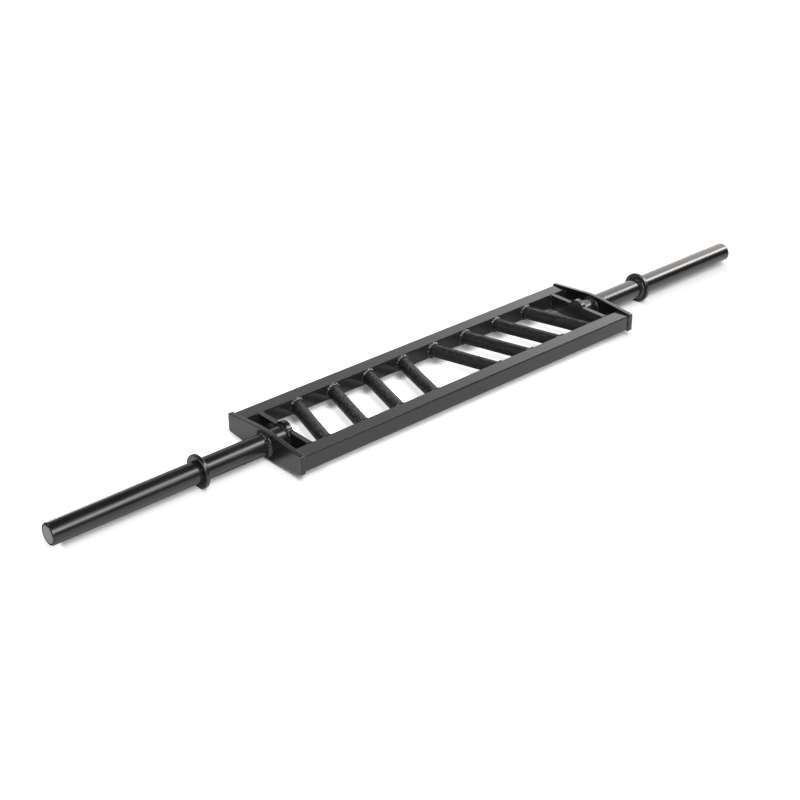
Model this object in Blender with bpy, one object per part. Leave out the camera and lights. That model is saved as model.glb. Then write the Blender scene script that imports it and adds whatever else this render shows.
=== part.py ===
"""Swiss bar: a welded steel strength bar with eight slanted grips between two square rails.

X runs along the bar, Y across it and Z up. The origin is the bar's centre, on the axis of its
sleeves. Lengths are in metres. Both ends of the bar are alike: they share their meshes, and
the left end is the right one turned half round. Nothing on the bar moves.
"""

import math

import bmesh
import bpy
from mathutils import Matrix, Vector

# Clearance between two pieces that are welded or fitted together
FIT_GAP = 0.0003

# Rails: square hollow sections, sawn square at both ends
RAIL_LENGTH = 1.032
RAIL_SIDE = 0.040
RAIL_WALL = 0.003
RAIL_CORNER_RADIUS = 0.005
RAIL_CLEAR_GAP = 0.180

# Grips: round tubes between the rails, their front ends further out than their back ends
GRIP_RADIUS = 0.016
GRIP_WALL = 0.003
GRIP_SLANT = math.radians(16.0)
GRIPS_PER_SIDE = 4
FIRST_GRIP_DISTANCE = 0.0755
LAST_GRIP_TO_INNER_PLATE = 0.0687
GRIP_WELD_LEG = 0.003

# End plates: arched top and bottom, standing proud of the rails all round
END_PLATE_THICKNESS = 0.012
END_PLATE_SIDE_MARGIN = 0.0035
END_PLATE_EDGE_MARGIN = 0.003
END_PLATE_SLOPE = math.radians(5.5)
END_PLATE_CROWN_RADIUS = 0.350
END_PLATE_CORNER_RADIUS = 0.0045
END_PLATE_EDGE_ROUNDING = 0.0012

# Inner plates: level with the rails, with a hump above and below the sleeve's inner end
INNER_PLATE_THICKNESS = 0.012
POCKET_LENGTH = 0.040
HUMP_RADIUS = 0.025
HUMP_RISE = 0.0145
HUMP_FILLET_RADIUS = 0.006
INNER_PLATE_EDGE_ROUNDING = 0.0008

# Sleeves: tubes from the inner plates through the end plates, which take the weight plates.
# The length is what stands outside the end plate
SLEEVE_RADIUS = 0.025
SLEEVE_WALL = 0.003
SLEEVE_LENGTH = 0.530
SLEEVE_TIP_CHAMFER = 0.0018
SLEEVE_WELD_LEG = 0.007
POCKET_WELD_LEG = 0.0055
ROOT_WELD_LEG = 0.005

# Caps: flat discs that close the sleeves' outer ends
CAP_THICKNESS = 0.008
CAP_RECESS = 0.0005
CAP_CHAMFER = 0.0006

# Collars: rings on the sleeves that stop the weight plates
COLLAR_RADIUS = 0.039
COLLAR_THICKNESS = 0.010
COLLAR_DISTANCE = 0.166
COLLAR_EDGE_ROUNDING = 0.0022
COLLAR_WELD_LEG = 0.006

# Section of a weld in the corner between a face and the sleeve: how far it reaches along the
# sleeve, and out across the face, as parts of its leg
RING_WELD_SECTION = ((0.0, 0.0), (1.0, 0.0), (0.86, 0.32), (0.42, 0.72), (0.0, 1.0))
GRIP_WELD_SECTION = ((0.0, 1.0), (0.3, 0.55), (1.0, 0.0))

# Facets of the round shapes
SLEEVE_SEGMENTS = 40
GRIP_SEGMENTS = 26
CORNER_SEGMENTS = 4
HUMP_SEGMENTS = 12
CROWN_SEGMENTS = 6
SMOOTH_ANGLE = math.radians(35.0)

# Colour, roughness and metallic value of each finish
COATED_STEEL = ((0.017, 0.017, 0.019), 0.38, 0.0)
COATED_TUBE = ((0.016, 0.016, 0.018), 0.28, 0.0)
KNURLED_STEEL = ((0.014, 0.014, 0.015), 0.55, 0.0)
CAP_FINISH = ((0.220, 0.220, 0.225), 0.45, 0.0)

# Places along the bar that several pieces share
PLATE_INNER_FACE = RAIL_LENGTH / 2 + FIT_GAP
PLATE_OUTER_FACE = PLATE_INNER_FACE + END_PLATE_THICKNESS
INNER_PLATE_OUTER_FACE = PLATE_INNER_FACE - POCKET_LENGTH
INNER_PLATE_INNER_FACE = INNER_PLATE_OUTER_FACE - INNER_PLATE_THICKNESS
RAIL_CENTRE = (RAIL_CLEAR_GAP + RAIL_SIDE) / 2
COLLAR_INNER_FACE = PLATE_OUTER_FACE + COLLAR_DISTANCE


def clear_scene():
    """Removes the objects of the start-up scene."""
    for obj in list(bpy.data.objects):
        bpy.data.objects.remove(obj, do_unlink=True)


def make_material(name, finish):
    """Returns a Principled material of this colour, roughness and metallic value."""
    colour, roughness, metallic = finish
    material = bpy.data.materials.new(name)
    material.use_nodes = True
    shader = material.node_tree.nodes["Principled BSDF"]
    shader.inputs["Base Color"].default_value = (*colour, 1.0)
    shader.inputs["Roughness"].default_value = roughness
    shader.inputs["Metallic"].default_value = metallic
    return material


def make_empty(name, turn=0.0, parent=None):
    """Returns an empty at the origin, turned about the vertical."""
    empty = bpy.data.objects.new(name, None)
    empty.rotation_euler.z = turn
    empty.parent = parent
    bpy.context.scene.collection.objects.link(empty)
    return empty


def mesh_from(name, shape):
    """Turns a closed bmesh into a mesh with outward faces and smooth round sides."""
    bmesh.ops.recalc_face_normals(shape, faces=shape.faces)
    mesh = bpy.data.meshes.new(name)
    shape.to_mesh(mesh)
    shape.free()
    mesh.shade_smooth()
    mesh.set_sharp_from_angle(angle=SMOOTH_ANGLE)
    return mesh


def add_piece(name, mesh, finish, parent, location=(0.0, 0.0, 0.0)):
    """Adds one piece that may share its mesh, with a material of its own."""
    obj = bpy.data.objects.new(name, mesh)
    bpy.context.scene.collection.objects.link(obj)
    obj.parent = parent
    obj.location = location
    if not mesh.materials:
        mesh.materials.append(None)
    obj.material_slots[0].link = "OBJECT"
    obj.material_slots[0].material = make_material(name + "_finish", finish)
    return obj


def arc(centre, radius, start, end, steps):
    """Returns points on an arc, both ends included."""
    angles = [start + (end - start) * i / steps for i in range(steps + 1)]
    return [
        (centre[0] + radius * math.cos(a), centre[1] + radius * math.sin(a))
        for a in angles
    ]


def round_corner(before, corner, after, radius, steps):
    """Returns the arc that rounds one corner of an outline."""
    here = Vector(corner)
    back = (Vector(before) - here).normalized()
    ahead = (Vector(after) - here).normalized()
    half = back.angle(ahead) / 2
    centre = here + (back + ahead).normalized() * (radius / math.sin(half))
    reach = radius / math.tan(half)
    first = here + back * reach - centre
    last = here + ahead * reach - centre
    start = math.atan2(first.y, first.x)
    sweep = math.remainder(math.atan2(last.y, last.x) - start, math.tau)
    return arc(centre, radius, start, start + sweep, steps)


def rounded_outline(corners):
    """Returns an outline from its corners, each one (y, z, radius, steps)."""
    points = []
    for i, (y, z, radius, steps) in enumerate(corners):
        before = corners[i - 1][:2]
        after = corners[(i + 1) % len(corners)][:2]
        points += round_corner(before, (y, z), after, radius, steps)
    return points


def skin_rings(shape, rings):
    """Joins rings of equally many points into one closed skin, the last ring to the first."""
    loops = [[shape.verts.new(point) for point in ring] for ring in rings]
    count = len(rings[0])
    for i, loop in enumerate(loops):
        following = loops[(i + 1) % len(loops)]
        for j in range(count):
            k = (j + 1) % count
            shape.faces.new((loop[j], loop[k], following[k], following[j]))


def turned_mesh(name, profile, segments):
    """Returns a ring turned about the X axis from a closed profile of (x, radius) points.

    A flat facet lies at the bottom, so that a turned piece rests level.
    """
    shape = bmesh.new()
    turn = Matrix.Rotation(math.pi / segments, 3, "X")
    verts = [shape.verts.new(turn @ Vector((x, 0.0, radius))) for x, radius in profile]
    edges = [
        shape.edges.new((verts[i], verts[(i + 1) % len(verts)]))
        for i in range(len(verts))
    ]
    bmesh.ops.spin(
        shape,
        geom=verts + edges,
        cent=(0.0, 0.0, 0.0),
        axis=(1.0, 0.0, 0.0),
        angle=math.tau,
        steps=segments,
        use_merge=True,
    )
    return mesh_from(name, shape)


def turned_solid_mesh(name, profile, segments):
    """Returns a solid turned about the X axis from an open profile of (x, radius) points."""
    shape = bmesh.new()
    loops = []
    for x, radius in profile:
        ring = []
        for i in range(segments):
            angle = math.tau * (i + 0.5) / segments
            ring.append(
                shape.verts.new((x, radius * math.sin(angle), radius * math.cos(angle)))
            )
        loops.append(ring)
    for near, far in zip(loops, loops[1:]):
        for i in range(segments):
            j = (i + 1) % segments
            shape.faces.new((near[i], near[j], far[j], far[i]))
    shape.faces.new(loops[0])
    shape.faces.new(loops[-1])
    return mesh_from(name, shape)


def plate_mesh(name, outline, thickness):
    """Returns a plate that stands across the bar: its outline at X = 0, extruded outboard."""
    shape = bmesh.new()
    verts = [shape.verts.new((0.0, y, z)) for y, z in outline]
    face = shape.faces.new(verts)
    grown = bmesh.ops.extrude_face_region(shape, geom=[face])
    moved = [item for item in grown["geom"] if isinstance(item, bmesh.types.BMVert)]
    bmesh.ops.translate(shape, verts=moved, vec=(thickness, 0.0, 0.0))
    return mesh_from(name, shape)


def round_edges(obj, width):
    """Rounds a plate's long edges with a small bevel."""
    bevel = obj.modifiers.new("edge rounding", "BEVEL")
    bevel.width = width
    bevel.segments = 2
    bevel.limit_method = "ANGLE"
    bevel.angle_limit = math.radians(50.0)


def rail_mesh():
    """Returns a square hollow section along X, open at both ends."""
    outlines = []
    for inset in (0.0, RAIL_WALL):
        half = RAIL_SIDE / 2 - inset
        radius = max(RAIL_CORNER_RADIUS - inset, RAIL_WALL / 2)
        square = ((-half, -half), (half, -half), (half, half), (-half, half))
        outlines.append(
            rounded_outline([(y, z, radius, CORNER_SEGMENTS) for y, z in square])
        )
    outer, inner = outlines
    end = RAIL_LENGTH / 2
    rings = [
        [(-end, y, z) for y, z in outer],
        [(end, y, z) for y, z in outer],
        [(end, y, z) for y, z in inner],
        [(-end, y, z) for y, z in inner],
    ]
    shape = bmesh.new()
    skin_rings(shape, rings)
    return mesh_from("rail", shape)


def grip_mesh(name, lean):
    """Returns a grip tube, mitred to lie flat against both rails, with a weld at each end.

    lean is +1 or -1: the side to which the grip's X place shifts as Y grows.
    """
    end = RAIL_CLEAR_GAP / 2 - FIT_GAP
    bore = GRIP_RADIUS - GRIP_WALL
    weld = [(depth * GRIP_WELD_LEG, out * GRIP_WELD_LEG) for depth, out in GRIP_WELD_SECTION]
    sections = [(-end + depth, GRIP_RADIUS + swell) for depth, swell in weld]
    sections += [(end - depth, GRIP_RADIUS + swell) for depth, swell in reversed(weld)]
    sections += [(end, bore), (-end, bore)]
    rings = []
    for y, radius in sections:
        middle = lean * math.tan(GRIP_SLANT) * y
        width = radius / math.cos(GRIP_SLANT)
        angles = [math.tau * i / GRIP_SEGMENTS for i in range(GRIP_SEGMENTS)]
        rings.append(
            [
                (middle + width * math.cos(a), y, radius * math.sin(a))
                for a in angles
            ]
        )
    shape = bmesh.new()
    skin_rings(shape, rings)
    return mesh_from(name, shape)


def end_plate_outline():
    """Returns the end plate's outline, arched above and below."""
    half_width = RAIL_CLEAR_GAP / 2 + RAIL_SIDE + END_PLATE_SIDE_MARGIN
    side = RAIL_SIDE / 2 + END_PLATE_EDGE_MARGIN
    peak = side + half_width * math.tan(END_PLATE_SLOPE)
    corner = (END_PLATE_CORNER_RADIUS, CORNER_SEGMENTS)
    crown = (END_PLATE_CROWN_RADIUS, CROWN_SEGMENTS)
    return rounded_outline(
        [
            (half_width, -side, *corner),
            (half_width, side, *corner),
            (0.0, peak, *crown),
            (-half_width, side, *corner),
            (-half_width, -side, *corner),
            (0.0, -peak, *crown),
        ]
    )


def inner_plate_outline():
    """Returns the inner plate's outline: a strip with a filleted hump above and below."""
    half_width = RAIL_CLEAR_GAP / 2 - FIT_GAP
    level = RAIL_SIDE / 2
    middle = level + HUMP_RISE - HUMP_RADIUS
    fillet_z = level + HUMP_FILLET_RADIUS
    reach = HUMP_RADIUS + HUMP_FILLET_RADIUS
    fillet_y = math.sqrt(reach**2 - (fillet_z - middle) ** 2)
    contact = math.atan2(fillet_z - middle, fillet_y)
    right_fillet = arc(
        (fillet_y, fillet_z),
        HUMP_FILLET_RADIUS,
        -math.pi / 2,
        contact - math.pi,
        CORNER_SEGMENTS,
    )
    crest = arc((0.0, middle), HUMP_RADIUS, contact, math.pi - contact, HUMP_SEGMENTS)
    left_fillet = [(-y, z) for y, z in reversed(right_fillet)]
    top = [(half_width, level)] + right_fillet + crest[1:-1] + left_fillet
    top.append((-half_width, level))
    return top + [(-y, -z) for y, z in top]


def weld_profile(start, leg, direction):
    """Returns the section of a ring weld in the corner between a face and the sleeve.

    start is the face's place along the bar, and direction is +1 where the weld lies outboard.
    """
    face = start + direction * FIT_GAP
    inner = SLEEVE_RADIUS + FIT_GAP
    return [(face + direction * leg * x, inner + leg * r) for x, r in RING_WELD_SECTION]


def sleeve_mesh():
    """Returns the sleeve tube from the inner plate to its chamfered tip."""
    start = INNER_PLATE_OUTER_FACE + FIT_GAP
    tip = PLATE_OUTER_FACE + SLEEVE_LENGTH
    bore = SLEEVE_RADIUS - SLEEVE_WALL
    profile = [
        (start, bore),
        (start, SLEEVE_RADIUS),
        (tip - SLEEVE_TIP_CHAMFER, SLEEVE_RADIUS),
        (tip, SLEEVE_RADIUS - SLEEVE_TIP_CHAMFER),
        (tip, bore),
    ]
    return turned_mesh("sleeve", profile, SLEEVE_SEGMENTS)


def cap_mesh():
    """Returns the disc that closes the sleeve's outer end."""
    radius = SLEEVE_RADIUS - SLEEVE_WALL - FIT_GAP
    face = PLATE_OUTER_FACE + SLEEVE_LENGTH - CAP_RECESS
    profile = [
        (face - CAP_THICKNESS, radius - CAP_CHAMFER),
        (face - CAP_THICKNESS + CAP_CHAMFER, radius),
        (face - CAP_CHAMFER, radius),
        (face, radius - CAP_CHAMFER),
    ]
    return turned_solid_mesh("sleeve_cap", profile, SLEEVE_SEGMENTS)


def collar_mesh():
    """Returns the collar ring, with both outer edges rounded."""
    bore = SLEEVE_RADIUS + FIT_GAP
    near = COLLAR_INNER_FACE
    far = near + COLLAR_THICKNESS
    soft = COLLAR_EDGE_ROUNDING
    rim = COLLAR_RADIUS - soft
    profile = [(near, bore)]
    profile += arc((near + soft, rim), soft, math.pi, math.pi / 2, 3)
    profile += arc((far - soft, rim), soft, math.pi / 2, 0.0, 3)
    profile.append((far, bore))
    return turned_mesh("collar", profile, SLEEVE_SEGMENTS)


def build_rails(bar):
    """Adds the two rails."""
    mesh = rail_mesh()
    add_piece("front_rail", mesh, COATED_STEEL, bar, (0.0, -RAIL_CENTRE, 0.0))
    add_piece("back_rail", mesh, COATED_STEEL, bar, (0.0, RAIL_CENTRE, 0.0))


def build_grips(bar):
    """Adds the grips, numbered from left to right: the right half mirrors the left half."""
    left_mesh = grip_mesh("left_grip", 1)
    right_mesh = grip_mesh("right_grip", -1)
    last_distance = INNER_PLATE_INNER_FACE - LAST_GRIP_TO_INNER_PLATE
    pitch = (last_distance - FIRST_GRIP_DISTANCE) / (GRIPS_PER_SIDE - 1)
    for i in range(GRIPS_PER_SIDE):
        distance = FIRST_GRIP_DISTANCE + pitch * i
        left_name = f"grip_{GRIPS_PER_SIDE - i}"
        right_name = f"grip_{GRIPS_PER_SIDE + 1 + i}"
        add_piece(left_name, left_mesh, KNURLED_STEEL, bar, (-distance, 0.0, 0.0))
        add_piece(right_name, right_mesh, KNURLED_STEEL, bar, (distance, 0.0, 0.0))


def add_bore_cutter(bar):
    """Adds the cutter that bores both end plates for the sleeves."""
    profile = [
        (-PLATE_OUTER_FACE - END_PLATE_THICKNESS, SLEEVE_RADIUS + FIT_GAP),
        (PLATE_OUTER_FACE + END_PLATE_THICKNESS, SLEEVE_RADIUS + FIT_GAP),
    ]
    cutter = bpy.data.objects.new(
        "sleeve_bore_cutter",
        turned_solid_mesh("sleeve_bore", profile, SLEEVE_SEGMENTS),
    )
    bpy.context.scene.collection.objects.link(cutter)
    cutter.parent = bar
    cutter.hide_render = True
    cutter.display_type = "WIRE"
    return cutter


def build_ends(bar):
    """Adds both ends: plates, sleeve, collar, cap and ring welds."""
    cutter = add_bore_cutter(bar)
    end_plate = plate_mesh("end_plate", end_plate_outline(), END_PLATE_THICKNESS)
    inner_plate = plate_mesh(
        "inner_plate", inner_plate_outline(), INNER_PLATE_THICKNESS
    )
    turned = (
        ("sleeve", sleeve_mesh(), COATED_TUBE),
        ("collar", collar_mesh(), COATED_TUBE),
        ("sleeve_cap", cap_mesh(), CAP_FINISH),
    )
    welds = (
        ("root_weld", INNER_PLATE_OUTER_FACE, 1, ROOT_WELD_LEG),
        ("pocket_weld", PLATE_INNER_FACE, -1, POCKET_WELD_LEG),
        ("sleeve_weld", PLATE_OUTER_FACE, 1, SLEEVE_WELD_LEG),
        ("collar_weld", COLLAR_INNER_FACE, -1, COLLAR_WELD_LEG),
    )
    weld_meshes = []
    for name, face, direction, leg in welds:
        profile = weld_profile(face, leg, direction)
        weld_meshes.append((name, turned_mesh(name, profile, SLEEVE_SEGMENTS)))
    for side, turn in (("right", 0.0), ("left", math.pi)):
        end = make_empty(side + "_end", turn, bar)
        plate = add_piece(
            side + "_end_plate",
            end_plate,
            COATED_STEEL,
            end,
            (PLATE_INNER_FACE, 0.0, 0.0),
        )
        bore = plate.modifiers.new("sleeve bore", "BOOLEAN")
        bore.operation = "DIFFERENCE"
        bore.object = cutter
        round_edges(plate, END_PLATE_EDGE_ROUNDING)
        inner = add_piece(
            side + "_inner_plate",
            inner_plate,
            COATED_STEEL,
            end,
            (INNER_PLATE_INNER_FACE, 0.0, 0.0),
        )
        round_edges(inner, INNER_PLATE_EDGE_ROUNDING)
        for name, mesh, finish in turned:
            add_piece(f"{side}_{name}", mesh, finish, end)
        for name, mesh in weld_meshes:
            add_piece(f"{side}_{name}", mesh, COATED_STEEL, end)


def main():
    """Builds the whole bar under one empty."""
    clear_scene()
    bar = make_empty("swiss_bar")
    build_rails(bar)
    build_grips(bar)
    build_ends(bar)
    bpy.context.view_layer.update()


main()
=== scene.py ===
"""Dresses the swiss bar: rails, plates, grips, sleeves, their welds and the studio around them."""

import logging
import math
import random
from collections.abc import Callable, Iterable
from dataclasses import dataclass
from enum import Enum

import bmesh
import bpy
from mathutils import Matrix, Vector


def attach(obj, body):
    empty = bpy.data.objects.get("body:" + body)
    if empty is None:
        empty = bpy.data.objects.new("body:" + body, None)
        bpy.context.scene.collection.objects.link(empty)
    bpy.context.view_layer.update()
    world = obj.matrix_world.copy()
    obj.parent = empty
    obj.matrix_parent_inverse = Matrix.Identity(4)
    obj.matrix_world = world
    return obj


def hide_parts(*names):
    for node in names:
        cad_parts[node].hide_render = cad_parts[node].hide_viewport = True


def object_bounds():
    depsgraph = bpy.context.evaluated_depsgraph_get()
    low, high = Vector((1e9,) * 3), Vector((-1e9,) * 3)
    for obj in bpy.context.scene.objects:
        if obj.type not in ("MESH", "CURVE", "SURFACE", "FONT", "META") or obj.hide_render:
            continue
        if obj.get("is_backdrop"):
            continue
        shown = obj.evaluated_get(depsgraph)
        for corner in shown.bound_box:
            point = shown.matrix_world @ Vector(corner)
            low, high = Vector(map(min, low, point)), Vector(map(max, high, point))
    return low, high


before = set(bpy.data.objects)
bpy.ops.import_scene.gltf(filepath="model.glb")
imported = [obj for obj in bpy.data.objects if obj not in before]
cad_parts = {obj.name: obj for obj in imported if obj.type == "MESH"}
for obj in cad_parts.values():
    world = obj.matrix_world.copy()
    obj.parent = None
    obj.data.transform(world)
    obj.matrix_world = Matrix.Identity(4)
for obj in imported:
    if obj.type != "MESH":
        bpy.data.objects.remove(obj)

log = logging.getLogger("swiss_bar")
BODY = "root"
Point = tuple[float, float, float]
Colour = tuple[float, float, float]
Socket = bpy.types.NodeSocket

# A smooth step: where it starts and ends, then its values there if they aren't 0 and 1
Step = tuple[float, ...]

# How close a vertex lies to the place that it is picked by, and how squarely a face looks one way
NEAR = 1e-5
SQUARE = 0.9

# How far a cutter runs past what it cuts, and the angle in degrees that a weld is smooth below
OVERCUT = 0.01
WELD_SMOOTH = 60.0

WHITE = (1.0, 1.0, 1.0, 1.0)


class Side(Enum):
    """An end of the bar, with the turn that brings the right end there."""

    RIGHT = 0.0
    LEFT = math.pi

    @property
    def label(self) -> str:
        """Returns the side's name as pieces and nodes spell it."""
        return self.name.lower()


class Slot(Enum):
    """The record's material slots."""

    RAIL = "rail_coat"
    PLATE = "plate_coat"
    SLEEVE = "sleeve_coat"
    COLLAR = "collar_coat"
    GRIP = "grip_knurl"
    WELD = "weld_coat"
    CAP = "cap_grey"


# Shader building


class NodeSheet:
    """A node tree with short calls to add and link nodes."""

    def __init__(self, tree: bpy.types.NodeTree) -> None:
        """Starts from a tree whose nodes are cleared."""
        self.tree = tree
        tree.nodes.clear()

    def add(self, kind: str, **settings: object) -> bpy.types.Node:
        """Adds a node.

        Args:
            kind: The node's type, without its ShaderNode prefix.
            **settings: Attributes of the node.

        Returns:
            The new node.
        """
        prefix = "" if kind.startswith("Node") else "ShaderNode"
        node = self.tree.nodes.new(prefix + kind)
        for key, value in settings.items():
            setattr(node, key, value)
        return node

    def feed(self, node: bpy.types.Node, **values: object) -> bpy.types.Node:
        """Gives a node's inputs a value or a link.

        Args:
            node: The node.
            **values: Input names, spaces written as underscores, with a value or a socket.

        Returns:
            The same node.
        """
        for key, value in values.items():
            numbered = key[0] == "i" and key[1:].isdigit()
            socket = node.inputs[int(key[1:]) if numbered else key.replace("_", " ")]
            if isinstance(value, Socket):
                self.tree.links.new(value, socket)
            else:
                socket.default_value = value
        return node

    def math(self, operation: str, *terms: object) -> Socket:
        """Adds a Math node.

        Args:
            operation: The node's operation.
            *terms: Its inputs, as numbers or sockets.

        Returns:
            The result's socket.
        """
        node = self.add("Math", operation=operation)
        for index, term in enumerate(terms):
            self.feed(node, **{f"i{index}": term})
        return node.outputs[0]

    def fold(self, operation: str, *terms: object) -> Socket:
        """Joins any number of terms by one operation, from the first to the last.

        Args:
            operation: The Math node's operation.
            *terms: Numbers or sockets.

        Returns:
            The result's socket.
        """
        total = terms[0]
        for term in terms[1:]:
            total = self.math(operation, total, term)
        return total

    def times(self, *terms: object) -> Socket:
        """Returns the product of the terms."""
        return self.fold("MULTIPLY", *terms)

    def plus(self, *terms: object) -> Socket:
        """Returns the sum of the terms."""
        return self.fold("ADD", *terms)

    def less(self, *terms: object) -> Socket:
        """Returns the first term less the others."""
        return self.fold("SUBTRACT", *terms)

    def largest(self, *terms: object) -> Socket:
        """Returns the largest of the terms."""
        return self.fold("MAXIMUM", *terms)

    def bell(self, off: Socket) -> Socket:
        """Returns a bell curve: 1 where the offset is 0, falling away on both sides."""
        return self.math("EXPONENT", self.times(off, off, -1.0))

    def step(self, value: object, low: float, high: float, before: float = 0.0, after: float = 1.0) -> Socket:
        """Leads smoothly from one value to another, with a Map Range node.

        Args:
            value: The input.
            low: The input below which the output is the first value.
            high: The input above which it is the second.
            before: The first value.
            after: The second value.

        Returns:
            The result's socket.
        """
        node = self.add("MapRange", interpolation_type="SMOOTHSTEP")
        self.feed(node, Value=value, From_Min=low, From_Max=high, To_Min=before, To_Max=after)
        return node.outputs[0]

    def gate(self, *steps: tuple[Socket, Step]) -> Socket:
        """Returns the product of smooth steps, each given with its input."""
        return self.times(*(self.step(value, *step) for value, step in steps))

    def blend(self, mask: object, first: object, second: object) -> Socket:
        """Mixes two colours.

        Args:
            mask: How much of the second colour shows.
            first: A colour or its socket.
            second: A colour or its socket.

        Returns:
            The mixed colour's socket.
        """
        node = self.add("Mix", data_type="RGBA")
        self.feed(node, i0=mask, i6=first, i7=second)
        return node.outputs[2]

    def coat(self, colour: Socket, rough: Socket, normal: Socket, level: float) -> None:
        """Ends a material with a coat's shader.

        Args:
            colour: Its base colour.
            rough: Its roughness.
            normal: Its bumps.
            level: How strongly it mirrors.
        """
        shader = self.feed(self.add("BsdfPrincipled"), Base_Color=colour, Roughness=rough, Normal=normal)
        self.feed(shader, Specular_IOR_Level=level)
        self.feed(self.add("OutputMaterial"), Surface=shader.outputs[0])

    def noise(self, scale: object, detail: float, roughness: float = 0.5) -> Socket:
        """Adds a noise pattern that lies still on the object.

        Args:
            scale: The pattern's scale.
            detail: How many finer layers it has.
            roughness: How strong they are.

        Returns:
            The pattern's socket.
        """
        place = self.add("TexCoord").outputs["Object"]
        node = self.feed(self.add("TexNoise"), Vector=place, Scale=scale, Detail=detail, Roughness=roughness)
        return node.outputs[0]


def shade(colour: Colour, factor: float = 1.0) -> tuple[float, float, float, float]:
    """Returns a colour with alpha, made lighter or darker by a factor."""
    return (colour[0] * factor, colour[1] * factor, colour[2] * factor, 1.0)


def new_material(name: str) -> tuple[bpy.types.Material, NodeSheet]:
    """Makes a material without nodes.

    Args:
        name: The material's name.

    Returns:
        The material and the sheet of its nodes.
    """
    material = bpy.data.materials.new(name)
    material.use_nodes = True
    return material, NodeSheet(material.node_tree)


def new_group(
    name: str, inputs: dict[str, float], outputs: Iterable[str]
) -> tuple[NodeSheet, bpy.types.Node, bpy.types.Node]:
    """Starts a shader node group whose sockets are all numbers.

    Args:
        name: The group's name.
        inputs: Input names with their defaults.
        outputs: Output names.

    Returns:
        The group's sheet, its input node and its output node.
    """
    tree = bpy.data.node_groups.new(name, "ShaderNodeTree")
    for label, value in inputs.items():
        socket = tree.interface.new_socket(name=label, in_out="INPUT", socket_type="NodeSocketFloat")
        socket.default_value = value
    for label in outputs:
        tree.interface.new_socket(name=label, in_out="OUTPUT", socket_type="NodeSocketFloat")
    sheet = NodeSheet(tree)
    return sheet, sheet.add("NodeGroupInput"), sheet.add("NodeGroupOutput")


@dataclass
class Effects:
    """The shader groups that several finishes share."""

    ripple_scale: float = 0.21
    dimple_share: float = 0.55
    cloud_step: Step = (0.34, 0.68)
    speck_step: Step = (0.05, 0.22, 1.0, 0.0)
    dust_scale: float = 31.0
    dust_step: Step = (0.52, 0.74)
    grit_scale: float = 240.0
    grit_share: float = 0.12
    crest_step: Step = (0.62, 0.92)

    def __post_init__(self) -> None:
        """Builds each group once."""
        self.coat = self._coat_skin()
        self.wear = self._edge_wear()
        self.knurl = self._diamond_knurl()

    def _coat_skin(self) -> bpy.types.NodeTree:
        """Builds the skin of a sprayed coat: fine dimples, soft clouds and settled dust.

        Returns:
            The group, with Height, Clouds and Dust outputs.
        """
        scales = {"Dimple Scale": 900.0, "Cloud Scale": 9.0, "Dust Scale": 2600.0}
        sheet, given, out = new_group("coat_skin", scales, ("Height", "Clouds", "Dust"))
        dimples = sheet.noise(given.outputs[0], 2.0)
        ripple = sheet.noise(sheet.times(given.outputs[0], self.ripple_scale), 1.0)
        clouds = sheet.noise(given.outputs[1], 4.0, 0.6)
        place = sheet.add("TexCoord").outputs["Object"]
        specks = sheet.feed(sheet.add("TexVoronoi"), Vector=place, Scale=given.outputs[2]).outputs["Distance"]
        thin = sheet.noise(self.dust_scale, 3.0)
        dust = sheet.times(sheet.step(specks, *self.speck_step), sheet.step(thin, *self.dust_step))
        dimples = sheet.times(dimples, self.dimple_share)
        height = sheet.plus(dimples, sheet.times(ripple, 1.0 - self.dimple_share))
        sheet.feed(out, Height=height, Clouds=sheet.step(clouds, *self.cloud_step), Dust=dust)
        return sheet.tree

    def _edge_wear(self) -> bpy.types.NodeTree:
        """Builds a mask of thinned coat along outer edges, broken up by noise.

        Returns:
            The group, with a Wear output.
        """
        sheet, given, out = new_group("edge_wear", {"Start": 0.53, "Full": 0.62}, ("Wear",))
        grit = sheet.times(sheet.less(sheet.noise(self.grit_scale, 4.0, 0.7), 0.5), self.grit_share)
        edge = sheet.plus(sheet.add("NewGeometry").outputs["Pointiness"], grit)
        start, full = given.outputs[:2]
        sharp = sheet.feed(sheet.add("MapRange"), Value=edge, From_Min=start, From_Max=full)
        sheet.feed(out, Wear=sharp.outputs[0])
        return sheet.tree

    def _diamond_knurl(self) -> bpy.types.NodeTree:
        """Builds a diamond knurl on the grip's own unwrapped side.

        Returns:
            The group, with Height and Crest outputs.
        """
        sheet, given, out = new_group("diamond_knurl", {"Round": 64.0, "Along": 64.0}, ("Height", "Crest"))
        place = sheet.feed(sheet.add("SeparateXYZ"), Vector=sheet.add("UVMap", uv_map="UVMap").outputs[0])
        turns = sheet.times(place.outputs[0], given.outputs[0])
        run = sheet.times(place.outputs[1], given.outputs[1])
        ridges = [sheet.math("PINGPONG", sheet.math(rule, turns, run), 0.5) for rule in ("ADD", "SUBTRACT")]
        height = sheet.times(sheet.math("MINIMUM", *ridges), 2.0)
        sheet.feed(out, Height=height, Crest=sheet.step(height, *self.crest_step))
        return sheet.tree


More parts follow.
